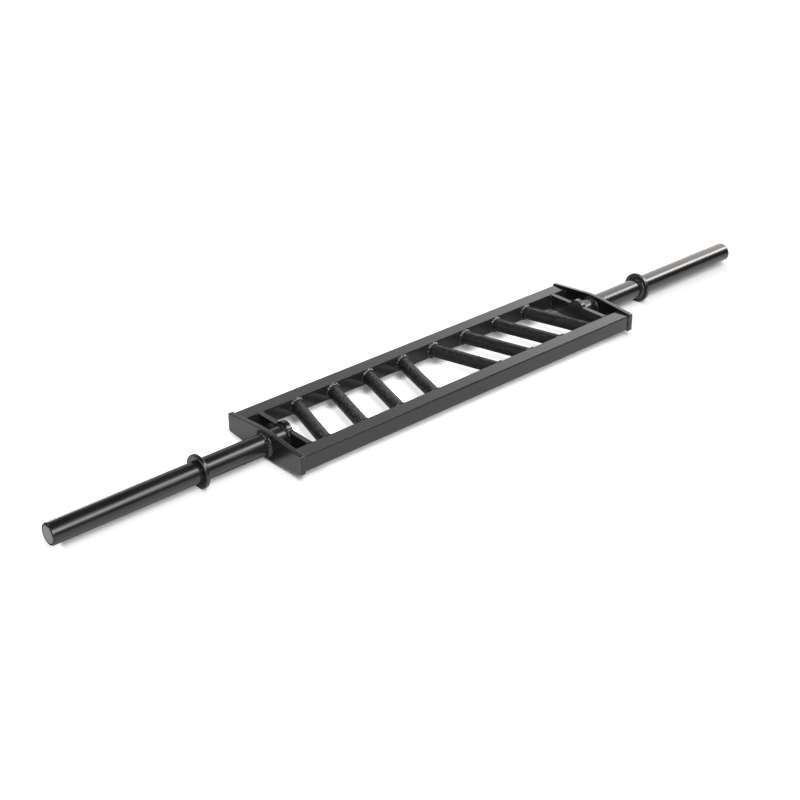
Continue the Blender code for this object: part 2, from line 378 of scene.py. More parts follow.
@dataclass(frozen=True)
class SprayedCoat:
    """Satin black powder coat on steel, as on the rails and plates."""

    name: str = "satin_black_coat"
    colour: Colour = (0.009, 0.009, 0.0094)
    mottle: float = 0.14
    roughness: float = 0.14
    spread: float = 0.05
    dimple_scale: float = 900.0
    dimple_depth: float = 0.00002
    relief: float = 0.6
    cloud_scale: float = 9.0
    dust: float = 0.12
    dust_colour: Colour = (0.20, 0.20, 0.20)
    dust_dulling: float = 0.12
    wear: float = 0.30
    worn_tone: float = 2.6
    level: float = 0.5

    def make(self, effects: Effects) -> bpy.types.Material:
        """Builds the material.

        Args:
            effects: The shared shader groups.

        Returns:
            The material.
        """
        material, sheet = new_material(self.name)
        skin = sheet.add("Group", node_tree=effects.coat)
        sheet.feed(skin, Dimple_Scale=self.dimple_scale, Cloud_Scale=self.cloud_scale)
        height, clouds, dust = skin.outputs
        worn = sheet.add("Group", node_tree=effects.wear).outputs["Wear"]
        body = sheet.blend(clouds, shade(self.colour, 1 - self.mottle), shade(self.colour, 1 + self.mottle))
        body = sheet.blend(sheet.times(dust, self.dust), body, shade(self.dust_colour))
        body = sheet.blend(sheet.times(worn, self.wear), body, shade(self.colour, self.worn_tone))
        half = self.spread / 2
        rough = sheet.step(clouds, 0.0, 1.0, self.roughness - half, self.roughness + half)
        rough = sheet.plus(rough, sheet.times(dust, self.dust_dulling))
        bump = sheet.feed(sheet.add("Bump"), Strength=self.relief, Distance=self.dimple_depth, Height=height)
        sheet.coat(body, rough, bump.outputs[0], self.level)
        return material


@dataclass(frozen=True)
class KnurledCoat:
    """Black steel with a fine diamond knurl, as on the grips."""

    name: str = "knurled_black_steel"
    colour: Colour = (0.0044, 0.0044, 0.0046)
    mottle: float = 0.28
    roughness: float = 0.35
    rows_round: float = 62.0
    rows_along: float = 240.0
    depth: float = 0.00022
    relief: float = 0.8
    level: float = 0.27
    cloud_scale: float = 26.0
    crest_share: float = 0.4
    crest_tone: float = 2.1
    crest_gloss: float = 0.06
    fleck_scale: float = 150.0
    fleck_detail: float = 4.0
    fleck_roughness: float = 0.8
    fleck_step: Step = (0.48, 0.61)
    fleck_share: float = 0.6
    fleck_tone: float = 6.0
    fleck_dulling: float = 0.08
    fleck_gloss: float = 0.14
    fleck_height: float = 2.2

    def make(self, effects: Effects) -> bpy.types.Material:
        """Builds the material.

        Args:
            effects: The shared shader groups.

        Returns:
            The material.
        """
        material, sheet = new_material(self.name)
        skin = sheet.add("Group", node_tree=effects.coat)
        sheet.feed(skin, Cloud_Scale=self.cloud_scale)
        knurl = sheet.add("Group", node_tree=effects.knurl)
        sheet.feed(knurl, Round=self.rows_round, Along=self.rows_along)
        ridges, crest = knurl.outputs
        fleck = sheet.noise(self.fleck_scale, self.fleck_detail, self.fleck_roughness)
        fleck = sheet.step(fleck, *self.fleck_step)
        tones = shade(self.colour, 1 - self.mottle), shade(self.colour, 1 + self.mottle)
        body = sheet.blend(skin.outputs["Clouds"], *tones)
        body = sheet.blend(sheet.times(crest, self.crest_share), body, shade(self.colour, self.crest_tone))
        body = sheet.blend(sheet.times(fleck, self.fleck_share), body, shade(self.colour, self.fleck_tone))
        dull, glossy = self.roughness + self.fleck_dulling, self.roughness - self.fleck_gloss
        rough = sheet.less(sheet.step(fleck, 0.0, 1.0, dull, glossy), sheet.times(crest, self.crest_gloss))
        height = sheet.plus(ridges, sheet.times(fleck, self.fleck_height))
        bump = sheet.feed(sheet.add("Bump"), Strength=self.relief, Distance=self.depth, Height=height)
        sheet.coat(body, rough, bump.outputs[0], self.level)
        return material


class Finishes:
    """Every finish on the bar, made once."""

    def __init__(self) -> None:
        """Makes the materials."""
        effects = Effects()
        self.frame = SprayedCoat().make(effects)
        self.sleeve = SprayedCoat(
            name="smooth_black_coat",
            colour=(0.008, 0.008, 0.0083),
            roughness=0.19,
            spread=0.03,
            dimple_depth=0.000006,
            cloud_scale=6.0,
            dust=0.0,
            wear=0.2,
        ).make(effects)
        self.weld = SprayedCoat(
            name="coated_weld",
            roughness=0.27,
            spread=0.34,
            dimple_scale=330.0,
            dimple_depth=0.0005,
            cloud_scale=230.0,
            dust=0.1,
            wear=0.0,
        ).make(effects)
        self.cap = SprayedCoat(
            name="grey_end_cap",
            colour=(0.225, 0.225, 0.229),
            roughness=0.5,
            spread=0.1,
            dimple_scale=1500.0,
            dimple_depth=0.00005,
            cloud_scale=40.0,
            dust=0.5,
            wear=0.0,
        ).make(effects)
        self.grip = KnurledCoat().make(effects)


# Modelling by operators


def deselect() -> None:
    """Leaves nothing selected."""
    for obj in bpy.context.selected_objects:
        obj.select_set(False)


def discard(*pieces: bpy.types.Object) -> None:
    """Removes pieces that only served to make others."""
    for piece in pieces:
        bpy.data.objects.remove(piece, do_unlink=True)


def along_x(edge: bmesh.types.BMEdge) -> bool:
    """Returns whether an edge runs along the bar."""
    run = edge.verts[0].co - edge.verts[1].co
    return abs(run.x) > SQUARE * run.length


@dataclass
class Workbench:
    """Shapes one piece at a time with the modelling operators."""

    soft_angle: float = math.radians(40.0)
    soft_segments: int = 3
    normal_weight: int = 60

    def __post_init__(self) -> None:
        """Starts with nothing selected."""
        deselect()
        self.piece: bpy.types.Object = bpy.context.view_layer.objects.active

    def _alone(self) -> None:
        """Selects the piece alone and makes it the active one."""
        deselect()
        self.piece.select_set(True)
        bpy.context.view_layer.objects.active = self.piece

    def _took(self, name: str) -> bpy.types.Object:
        """Names the new primitive and puts its place in its mesh.

        Args:
            name: The piece's name.

        Returns:
            The piece.
        """
        self.piece = bpy.context.object
        self.piece.name = name
        self.piece.data.name = name
        bpy.ops.object.transform_apply(location=True, rotation=True, scale=True)
        return self.piece

    def block(self, name: str, low: Point, high: Point) -> bpy.types.Object:
        """Adds a cube between two corners.

        Args:
            name: The piece's name.
            low: Its lowest corner.
            high: Its highest corner.

        Returns:
            The piece.
        """
        deselect()
        centre = [(a + b) / 2 for a, b in zip(low, high)]
        bpy.ops.mesh.primitive_cube_add(size=1.0, location=centre)
        bpy.context.object.scale = [b - a for a, b in zip(low, high)]
        return self._took(name)

    def rod(self, name: str, start: Point, end: Point, radius: float, sides: int) -> bpy.types.Object:
        """Adds a cylinder between two points.

        Args:
            name: The piece's name.
            start: The middle of one face.
            end: The middle of the other.
            radius: Its radius.
            sides: How many sides it has.

        Returns:
            The piece.
        """
        deselect()
        run = Vector(end) - Vector(start)
        centre = (Vector(start) + Vector(end)) / 2
        turn = run.to_track_quat("Z", "Y").to_euler()
        bpy.ops.mesh.primitive_cylinder_add(
            vertices=sides, radius=radius, depth=run.length, location=centre, rotation=turn
        )
        return self._took(name)

    def rod_along(self, name: str, start: float, end: float, radius: float, sides: int) -> bpy.types.Object:
        """Adds a cylinder on the bar's axis, from one place along it to another, and returns it."""
        return self.rod(name, (start, 0.0, 0.0), (end, 0.0, 0.0), radius, sides)

    def edit(self) -> None:
        """Enters edit mode on the piece with nothing selected."""
        self._alone()
        bpy.ops.object.mode_set(mode="EDIT")
        bpy.ops.mesh.select_all(action="DESELECT")

    @staticmethod
    def leave() -> None:
        """Leaves edit mode."""
        bpy.ops.object.mode_set(mode="OBJECT")

    def pick(self, kind: str, test: Callable[[object], bool]) -> None:
        """Selects the vertices, edges or faces that pass a test, and nothing else.

        Args:
            kind: VERT, EDGE or FACE.
            test: Says whether an element is wanted.
        """
        bpy.ops.mesh.select_all(action="DESELECT")
        bpy.ops.mesh.select_mode(type=kind)
        mesh = bmesh.from_edit_mesh(self.piece.data)
        elements = {"VERT": mesh.verts, "EDGE": mesh.edges, "FACE": mesh.faces}[kind]
        for element in elements:
            if test(element):
                element.select_set(True)
        mesh.select_flush_mode()
        bmesh.update_edit_mesh(self.piece.data)

    def bevel(self, width: float, segments: int, profile: float = 0.5) -> None:
        """Bevels the selected edges.

        Args:
            width: The bevel's width.
            segments: How many steps it has.
            profile: Its form, from hollow at 0 by round at 0.5 to full at 1.
        """
        bpy.ops.mesh.bevel(
            offset=width, segments=segments, profile=profile, affect="EDGES", clamp_overlap=False
        )

    def cut(self, point: Point, normal: Point) -> None:
        """Cuts the whole piece by a plane, drops the side its normal points to and closes the cut."""
        bpy.ops.mesh.select_all(action="SELECT")
        bpy.ops.mesh.bisect(plane_co=point, plane_no=normal, use_fill=True, clear_outer=True)

    def modify(self, kind: str, **settings: object) -> None:
        """Adds a modifier and applies it.

        Args:
            kind: The modifier's type.
            **settings: Its settings.
        """
        self._alone()
        modifier = self.piece.modifiers.new(kind.lower(), kind)
        for key, value in settings.items():
            setattr(modifier, key, value)
        bpy.ops.object.modifier_apply(modifier=modifier.name)

    def combine(self, piece: bpy.types.Object, tool: bpy.types.Object, operation: str) -> None:
        """Adds a tool shape to a piece or takes it away, then removes the tool.

        Args:
            piece: The piece that is kept.
            tool: The other shape.
            operation: UNION or DIFFERENCE.
        """
        self.piece = piece
        self.modify("BOOLEAN", object=tool, operation=operation, solver="EXACT")
        discard(tool)

    def soften(self, width: float) -> None:
        """Rounds every sharp edge by a bevel of this width."""
        rule = {"limit_method": "ANGLE", "angle_limit": self.soft_angle}
        self.modify("BEVEL", width=width, segments=self.soft_segments, **rule)

    def smooth(self, angle: float = 35.0) -> None:
        """Shades the piece smooth where its faces meet below an angle, and keeps its flats flat.

        Args:
            angle: The angle in degrees.
        """
        self._alone()
        bpy.ops.object.shade_smooth_by_angle(angle=math.radians(angle))
        self.modify("WEIGHTED_NORMAL", keep_sharp=True, weight=self.normal_weight)

    def copy(self, master: bpy.types.Object, name: str, move: Matrix) -> bpy.types.Object:
        """Copies a piece with its own mesh, moved or turned.

        Args:
            master: The piece to copy.
            name: The copy's name.
            move: Where the copy goes, from the master's place.

        Returns:
            The copy.
        """
        twin = bpy.data.objects.new(name, master.data.copy())
        bpy.context.scene.collection.objects.link(twin)
        twin.data.name = name
        twin.data.transform(move)
        return twin

    def swell(self, groups: dict[int, list[int]], swells: list[float]) -> None:
        """Swells groups of vertices along their normals, as the pools of a weld do.

        Args:
            groups: Vertex numbers of each group.
            swells: How far each group moves out.
        """
        self.edit()
        bpy.ops.mesh.select_mode(type="VERT")
        for number, swell in enumerate(swells):
            mesh = bmesh.from_edit_mesh(self.piece.data)
            mesh.verts.ensure_lookup_table()
            bpy.ops.mesh.select_all(action="DESELECT")
            for index in groups.get(number, []):
                mesh.verts[index].select_set(True)
            bmesh.update_edit_mesh(self.piece.data)
            bpy.ops.transform.shrink_fatten(value=swell)
        self.leave()


def dress(piece: bpy.types.Object, finish: bpy.types.Material, replaces: str = "") -> None:
    """Gives a piece its finish and its place on the bar's body, and reports it.

    Args:
        piece: The finished piece.
        finish: Its material.
        replaces: The CAD node it stands for, if any.
    """
    piece.data.materials.clear()
    piece.data.materials.append(finish)
    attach(piece, BODY)
    if replaces:
        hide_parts(replaces)
    log.info("%s: %d faces", piece.name, len(piece.data.polygons))


# The bar's sub-assemblies


@dataclass
class Assembly:
    """Pieces of the bar that belong together, with the tools and the finishes that make them."""

    bench: Workbench
    finishes: Finishes

    def fit_both_ends(
        self, master: bpy.types.Object, node: str, finish: bpy.types.Material, slot: Slot
    ) -> None:
        """Copies a piece of the right end to both ends and removes the master.

        Args:
            master: The right end's piece.
            node: The CAD node that it stands for, without the side.
            finish: Its material.
            slot: The record's slot; not used.
        """
        for side in Side:
            name = f"{side.label}_{node}"
            copy = self.bench.copy(master, "coated_" + name, Matrix.Rotation(side.value, 4, "Z"))
            dress(copy, finish, name)
        discard(master)


@dataclass
class Rails(Assembly):
    """The two square rails."""

    length: float = 1.032
    side: float = 0.040
    wall: float = 0.003
    flat: float = 0.0048
    flat_slope: float = math.radians(65.0)
    crest: float = 0.0008
    crest_segments: int = 5
    clear_gap: float = 0.180

    @property
    def middle(self) -> float:
        """Returns how far each rail's middle lies from the bar's axis."""
        return (self.clear_gap + self.side) / 2

    def build(self) -> None:
        """Models one rail as an open square tube and copies it."""
        bench, finishes = self.bench, self.finishes
        half = self.side / 2
        end = self.length / 2
        rail = bench.block("rail", (-end, -half, -half), (end, half, half))
        bench.edit()
        for out in (1.0, -1.0):
            for up in (1.0, -1.0):
                normal = (0.0, out * math.sin(self.flat_slope), up * math.cos(self.flat_slope))
                bench.cut((0.0, out * half, up * (half - self.flat)), normal)
        bench.pick("FACE", lambda face: abs(face.normal.x) > SQUARE)
        bpy.ops.mesh.delete(type="FACE")
        bench.pick("EDGE", lambda edge: along_x(edge) and abs(edge.verts[0].co.z) > half - NEAR)
        bench.bevel(self.crest, self.crest_segments)
        bench.leave()
        bench.modify("SOLIDIFY", thickness=self.wall, offset=-1.0)
        bench.smooth()
        for node, place in (("front_rail", -self.middle), ("back_rail", self.middle)):
            copy = bench.copy(rail, "coated_" + node, Matrix.Translation((0.0, place, 0.0)))
            dress(copy, finishes.frame, node)
        discard(rail)


@dataclass
class EndPlates(Assembly):
    """The arched end plates."""

    inner_face: float = 0.5163
    thickness: float = 0.012
    half_width: float = 0.1335
    side_half: float = 0.023
    slope: float = math.radians(5.5)
    crown_radius: float = 0.350
    crown_segments: int = 12
    corner_radius: float = 0.0045
    corner_segments: int = 7
    bore_radius: float = 0.0253
    bore_sides: int = 144
    edge: float = 0.0013

    def build(self) -> None:
        """Cuts the arch from a block, rounds its corners and crown, and copies it to the left end."""
        bench = self.bench
        width = self.half_width
        peak = self.side_half + width * math.tan(self.slope)
        near, far = self.inner_face, self.inner_face + self.thickness
        plate = bench.block("end_plate", (near, -width, -peak), (far, width, peak))
        bench.edit()
        for up in (1.0, -1.0):
            for out in (1.0, -1.0):
                normal = (0.0, out * math.sin(self.slope), up * math.cos(self.slope))
                bench.cut((near, 0.0, up * peak), normal)
        bench.pick("EDGE", lambda edge: along_x(edge) and abs(edge.verts[0].co.y) < NEAR)
        bench.bevel(self.crown_radius * math.tan(self.slope), self.crown_segments)
        bench.pick("EDGE", lambda edge: along_x(edge) and abs(edge.verts[0].co.y) > width - NEAR)
        corner = self.corner_radius * math.tan((math.pi / 2 - self.slope) / 2)
        bench.bevel(corner, self.corner_segments)
        bench.leave()
        bore = bench.rod_along("bore", near - OVERCUT, far + OVERCUT, self.bore_radius, self.bore_sides)
        bench.combine(plate, bore, "DIFFERENCE")
        bench.soften(self.edge)
        bench.smooth()
        self.fit_both_ends(plate, "end_plate", self.finishes.frame, Slot.PLATE)


@dataclass
class InnerPlates(Assembly):
    """The inner plates with their humps."""

    outer_face: float = 0.4763
    thickness: float = 0.012
    half_width: float = 0.0897
    level: float = 0.020
    hump_radius: float = 0.025
    hump_rise: float = 0.0145
    hump_sides: int = 128
    fillet: float = 0.006
    fillet_sides: int = 64
    wedge_lap: float = 0.004
    merge_angle: float = math.radians(0.5)
    edge: float = 0.0010

    def build(self) -> None:
        """Joins the humps to a strip, fillets them with round cuts and copies the plate."""
        bench = self.bench
        near, far = self.outer_face - self.thickness, self.outer_face
        middle = self.level + self.hump_rise - self.hump_radius
        reach = self.hump_radius + self.fillet
        rise = self.level + self.fillet - middle
        out = math.sqrt(reach**2 - rise**2)
        touch = middle + self.hump_radius * rise / reach
        plate = bench.block(
            "inner_plate", (near, -self.half_width, -self.level), (far, self.half_width, self.level)
        )
        for up in (1.0, -1.0):
            axis = (0.0, up * middle)
            disc = bench.rod("hump", (near, *axis), (far, *axis), self.hump_radius, self.hump_sides)
            bench.combine(plate, disc, "UNION")
            low, high = sorted((up * (self.level - self.wedge_lap), up * touch))
            wedge = bench.block("wedge", (near, -out, low), (far, out, high))
            for across in (1.0, -1.0):
                seat = (across * out, up * (self.level + self.fillet))
                start, end = (near - OVERCUT, *seat), (far + OVERCUT, *seat)
                cutter = bench.rod("cutter", start, end, self.fillet, self.fillet_sides)
                bench.combine(wedge, cutter, "DIFFERENCE")
            bench.combine(plate, wedge, "UNION")
        bench.edit()
        bpy.ops.mesh.select_all(action="SELECT")
        bpy.ops.mesh.remove_doubles(threshold=NEAR)
        bpy.ops.mesh.dissolve_limited(angle_limit=self.merge_angle)
        bench.leave()
        bench.soften(self.edge)
        bench.smooth()
        self.fit_both_ends(plate, "inner_plate", self.finishes.frame, Slot.PLATE)


@dataclass(frozen=True)
class RingBead:
    """A lumpy fillet bead, shaped from a disc on the X or Y axis.

    Its direction, +1 or -1, is the side of the disc's free face. Its lump says how much the pools
    differ, and the seed picks them.
    """

    leg: float
    axis: str
    direction: float
    pools: int
    lump: float
    seed: int
    sides: int = 96
    sunk: float = 0.0006
    rim_share: float = 0.97
    rim_segments: int = 7
    rim_profile: float = 0.36
    free_share: float = 0.985
    pool_shares: tuple[float, float] = (0.45, 1.55)
    crown: float = 0.9
    drift: float = 0.7

    def swells(self) -> list[float]:
        """Draws the pools at random.

        Returns:
            How far each of the bead's sides swells.
        """
        rng = random.Random(self.seed)
        steps = [rng.uniform(-1.0, 1.0) for _ in range(self.pools)]
        shares = [rng.uniform(*self.pool_shares) for _ in range(self.pools)]
        starts = [sum(shares[:pool]) / sum(shares) for pool in range(self.pools + 1)]
        swells = []
        for side in range(self.sides):
            where = side / self.sides
            pool = max(number for number in range(self.pools) if starts[number] <= where)
            part = (where - starts[pool]) / (starts[pool + 1] - starts[pool])
            crown = math.sin(math.pi * part) - 0.5
            drift = steps[pool] * (1 - part) + steps[(pool + 1) % self.pools] * part
            swells.append(self.lump * (self.crown * crown + self.drift * drift))
        return swells

    def shape(self, bench: Workbench) -> bpy.types.Object:
        """Rounds the free rim of the disc on the bench and swells it pool by pool.

        Args:
            bench: The modelling tools, holding the disc.

        Returns:
            The bead.
        """
        lane = "XYZ".index(self.axis)
        first, second = (number for number in range(3) if number != lane)
        free = max(vertex.co[lane] * self.direction for vertex in bench.piece.data.vertices)
        foot = free - self.leg * self.free_share
        bench.edit()
        bench.pick("EDGE", lambda edge: all(v.co[lane] * self.direction > free - NEAR for v in edge.verts))
        bench.bevel(self.leg * self.rim_share, self.rim_segments, self.rim_profile)
        bench.leave()
        groups: dict[int, list[int]] = {}
        for vertex in bench.piece.data.vertices:
            share = math.atan2(vertex.co[second], vertex.co[first]) % math.tau / math.tau
            if vertex.co[lane] * self.direction > foot:
                groups.setdefault(round(share * self.sides) % self.sides, []).append(vertex.index)
        bench.swell(groups, self.swells())
        bench.smooth(WELD_SMOOTH)
        return bench.piece


@dataclass
class Grips(Assembly):
    """The eight slanted grips with a weld bead at each end."""

    radius: float = 0.016
    sides: int = 96
    slant: float = math.radians(16.0)
    places: tuple[float, ...] = (0.0755, 0.1822, 0.2889, 0.3956)
    reach: float = 0.0897
    overlong: float = 1.3
    bead_leg: float = 0.0046
    bead_pools: int = 9
    bead_lump: float = 0.0014
    bead_kinds: int = 4

    def shift(self, lean: int) -> float:
        """Returns how far a grip's axis moves along the bar from its middle to its back end."""
        return lean * math.tan(self.slant) * self.reach

    def tube(self, name: str, lean: int) -> bpy.types.Object:
        """Models a grip in the bar's middle, mitred to the rails.

        Args:
            name: The grip's name.
            lean: +1 where its back end lies further right, else -1.

        Returns:
            The grip.
        """
        bench = self.bench
        step = self.shift(lean) * self.overlong
        run = self.reach * self.overlong
        bench.rod(name, (-step, -run, 0.0), (step, run, 0.0), self.radius, self.sides)
        bench.edit()
        bench.cut((0.0, self.reach, 0.0), (0.0, 1.0, 0.0))
        bench.cut((0.0, -self.reach, 0.0), (0.0, -1.0, 0.0))
        bench.leave()
        bench.smooth()
        return bench.piece

    def bead(self, name: str, seed: int) -> bpy.types.Object:
        """Models a lumpy weld bead round a grip's back end, centred on the bar's middle.

        Args:
            name: The bead's name.
            seed: Makes the lumps of one bead unlike another's.

        Returns:
            The bead.
        """
        bead = RingBead(self.bead_leg, "Y", -1.0, self.bead_pools, self.bead_lump, seed)
        start, end = self.reach - bead.leg, self.reach + bead.sunk
        self.bench.rod(name, (0.0, start, 0.0), (0.0, end, 0.0), self.radius + bead.leg, bead.sides)
        piece = bead.shape(self.bench)
        piece.data.transform(Matrix.Diagonal((1.0 / math.cos(self.slant), 1.0, 1.0, 1.0)))
        return piece

    def build(self) -> None:
        """Models each lean once, copies it to its places and adds the beads."""
        bench, finishes = self.bench, self.finishes
        tubes = {lean: self.tube(f"grip_lean_{lean + 1}", lean) for lean in (1, -1)}
        beads = [self.bead(f"bead_{seed}", seed) for seed in range(self.bead_kinds)]
        half = self.bead_kinds // 2
        ends = (("back", 1, 0, 0.0), ("front", -1, half, math.pi))
        count = len(self.places)
        for index, distance in enumerate(self.places):
            for lean, number in ((1, count - index), (-1, count + 1 + index)):
                place = -distance * lean
                node = f"grip_{number}"
                tube = bench.copy(tubes[lean], f"knurled_{node}", Matrix.Translation((place, 0.0, 0.0)))
                dress(tube, finishes.grip, node)
                for end, sign, skip, turn in ends:
                    master = beads[(number + skip) % len(beads)]
                    move = Matrix.Translation((place + sign * self.shift(lean), 0.0, 0.0))
                    bead = bench.copy(master, f"{node}_{end}_bead", move @ Matrix.Rotation(turn, 4, "Z"))
                    dress(bead, finishes.weld)
        discard(*tubes.values(), *beads)


@dataclass(frozen=True)
class RingWeld:
    """A ring weld in the corner between a face and the sleeve.

    Its direction is +1 where the weld lies outboard of the face, else -1.
    """

    node: str
    face: float
    leg: float
    direction: float
    pools: int
    seed: int


@dataclass
class Ends(Assembly):
    """Sleeve, collar and cap of each end, with their ring welds."""

    inner_plate_face: float = 0.4763
    plate_inner_face: float = 0.5163
    plate_outer_face: float = 0.5283
    tip: float = 1.0583
    radius: float = 0.025
    wall: float = 0.003
    sides: int = 144
    clearance: float = 0.0003
    chamfer: float = 0.0030
    chamfer_segments: int = 7
    chamfer_stretch: float = 1.7
    mouth_rim: float = 0.0004
    mouth_lip: float = 0.0002
    mouth_drop: float = 0.0004
    mouth_depth: float = 0.012
    cap_recess: float = 0.0005
    cap_gap: float = 0.0020
    cap_thickness: float = 0.008
    cap_rim: float = 0.0016
    cap_slope: float = 0.0008
    cap_dish: float = 0.00025
    cap_edge: float = 0.0006
    collar_face: float = 0.6943
    collar_thickness: float = 0.010
    collar_radius: float = 0.0388
    collar_edge: float = 0.0022
    collar_segments: int = 5
    weld_lump: float = 0.17

    @property
    def welds(self) -> tuple[RingWeld, ...]:
        """Returns the ring welds of the right end."""
        return (
            RingWeld("sleeve_weld", self.plate_outer_face, 0.0068, 1.0, 19, 6),
            RingWeld("collar_weld", self.collar_face, 0.0058, -1.0, 17, 7),
            RingWeld("root_weld", self.inner_plate_face, 0.0042, 1.0, 15, 8),
            RingWeld("pocket_weld", self.plate_inner_face, 0.0048, -1.0, 14, 9),
        )

    def sleeve(self) -> bpy.types.Object:
        """Models the sleeve from the inner plate to its chamfered mouth round the cap.

        Returns:
            The sleeve.
        """
        bench = self.bench
        tip = self.tip
        start = self.inner_plate_face + self.clearance
        sleeve = bench.rod_along("sleeve", start, tip, self.radius, self.sides)
        bench.edit()
        bench.pick("EDGE", lambda edge: all(vertex.co.x > tip - NEAR for vertex in edge.verts))
        bench.bevel(self.chamfer, self.chamfer_segments)
        bench.pick("VERT", lambda vertex: vertex.co.x > tip - self.chamfer - NEAR)
        bpy.ops.transform.resize(value=(self.chamfer_stretch, 1.0, 1.0), center_override=(tip, 0.0, 0.0))
        bench.pick("FACE", lambda face: face.normal.x > SQUARE and face.calc_center_median().x > tip - NEAR)
        bpy.ops.mesh.inset(thickness=self.mouth_rim, depth=0.0)
        bpy.ops.mesh.inset(thickness=self.mouth_lip, depth=-self.mouth_drop)
        bpy.ops.mesh.extrude_region_move(TRANSFORM_OT_translate={"value": (-self.mouth_depth, 0.0, 0.0)})
        bench.leave()
        bench.smooth()
        return sleeve

    def cap(self) -> bpy.types.Object:
        """Models the end disc: a bevelled rim round a very slightly dished face.

        Returns:
            The cap.
        """
        bench = self.bench
        front = self.tip - self.cap_recess
        radius = self.radius - self.wall - self.cap_gap
        cap = bench.rod_along("cap", front - self.cap_thickness, front, radius, self.sides)
        bench.edit()
        bench.pick("FACE", lambda face: face.normal.x > SQUARE)
        bpy.ops.mesh.inset(thickness=self.cap_rim, depth=0.0)
        bpy.ops.mesh.inset(thickness=self.cap_slope, depth=-self.cap_dish)
        bench.leave()
        bench.soften(self.cap_edge)
        bench.smooth()
        return cap

    def collar(self) -> bpy.types.Object:
        """Models the collar as a bored disc with rounded rims.

        Returns:
            The collar.
        """
        bench = self.bench
        near, far = self.collar_face, self.collar_face + self.collar_thickness
        rim = self.collar_radius - NEAR
        collar = bench.rod_along("collar", near, far, self.collar_radius, self.sides)
        bench.edit()
        bench.pick("FACE", lambda face: abs(face.normal.x) > SQUARE)
        bpy.ops.mesh.inset(thickness=self.collar_radius - self.radius - self.clearance, depth=0.0)
        bpy.ops.mesh.bridge_edge_loops()
        bench.pick("EDGE", lambda edge: not along_x(edge) and all(v.co.yz.length > rim for v in edge.verts))
        bench.bevel(self.collar_edge, self.collar_segments)
        bench.leave()
        bench.smooth()
        return collar

    def ring(self, weld: RingWeld) -> bpy.types.Object:
        """Models a ring weld.

        Args:
            weld: Its place and sizes.

        Returns:
            The weld.
        """
        lump = weld.leg * self.weld_lump
        bead = RingBead(weld.leg, "X", weld.direction, weld.pools, lump, weld.seed)
        start, end = weld.face - weld.direction * bead.sunk, weld.face + weld.direction * weld.leg
        self.bench.rod_along(weld.node, start, end, self.radius + weld.leg, bead.sides)
        return bead.shape(self.bench)

    def build(self) -> None:
        """Models the right end and turns copies of it to the left."""
        finishes = self.finishes
        self.fit_both_ends(self.sleeve(), "sleeve", finishes.sleeve, Slot.SLEEVE)
        self.fit_both_ends(self.cap(), "sleeve_cap", finishes.cap, Slot.CAP)
        self.fit_both_ends(self.collar(), "collar", finishes.sleeve, Slot.COLLAR)
        for weld in self.welds:
            self.fit_both_ends(self.ring(weld), weld.node, finishes.weld, Slot.WELD)


@dataclass
class Seams(Assembly):
    """The upright weld seams between rails and plates."""

    rails: Rails
    plates: EndPlates
    inner: InnerPlates
    radius: float = 0.0031
    length: float = 0.0385
    sides: int = 20
    rings: int = 26
    kinds: int = 3
    pool_rings: int = 3
    pool: float = 0.00055
    scatter: float = 0.00030
    tapers: tuple[float, ...] = (0.0013, 0.0004)
    sunk_share: float = 0.25

    def bead(self, name: str, seed: int) -> bpy.types.Object:
        """Models an upright lumpy bead centred on the origin.

        Args:
            name: The bead's name.
            seed: Picks its lumps.

        Returns:
            The bead.
        """
        bench = self.bench
        half = self.length / 2
        bench.rod(name, (0.0, 0.0, -half), (0.0, 0.0, half), self.radius, self.sides)
        bench.edit()
        bench.pick("EDGE", lambda edge: abs(edge.verts[0].co.z - edge.verts[1].co.z) > half)
        bpy.ops.mesh.subdivide(number_cuts=self.rings - 1)
        bench.leave()
        groups: dict[int, list[int]] = {}
        for vertex in bench.piece.data.vertices:
            ring = round((vertex.co.z / self.length + 0.5) * self.rings)
            groups.setdefault(ring, []).append(vertex.index)
        rng = random.Random(seed)
        swells = []
        for ring in range(self.rings + 1):
            end = min(ring, self.rings - ring)
            swell = self.pool * (ring % self.pool_rings == 1) + rng.uniform(-self.scatter, self.scatter)
            swells.append(swell - self.tapers[end] if end < len(self.tapers) else swell)
        bench.swell(groups, swells)
        bench.smooth(WELD_SMOOTH)
        return bench.piece

    def build(self) -> None:
        """Puts a bead in each corner where a rail meets a plate."""
        rails, plates, inner = self.rails, self.plates, self.inner
        masters = [self.bead(f"seam_{seed}", seed) for seed in range(self.kinds)]
        inside = rails.clear_gap / 2
        outside = inside + rails.side
        sunk = self.radius * self.sunk_share
        corners = {
            "outer_seam": (plates.inner_face - sunk, outside - sunk),
            "pocket_seam": (plates.inner_face - sunk, inside - sunk),
            "inner_outboard_seam": (inner.outer_face + sunk, inside - sunk),
            "inner_inboard_seam": (inner.outer_face - inner.thickness - sunk, inside - sunk),
        }
        count = 0
        for side, flip in ((Side.RIGHT, 1.0), (Side.LEFT, -1.0)):
            for label, (x, y) in corners.items():
                for rail, across in (("front", -1.0), ("back", 1.0)):
                    move = Matrix.Translation((flip * x, across * y, 0.0))
                    name = f"{side.label}_{rail}_{label}"
                    seam = self.bench.copy(masters[count % self.kinds], name, move)
                    dress(seam, self.finishes.weld)
                    count += 1
        discard(*masters)


# The studio


@dataclass(frozen=True)
class Spot:
    """Where a point of the floor lies, as sockets in metres from the bar's middle.

    x and y keep their sign, along and across have none, and apart is the distance from the bar.
    """

    x: Socket
    y: Socket
    along: Socket
    across: Socket
    apart: Socket


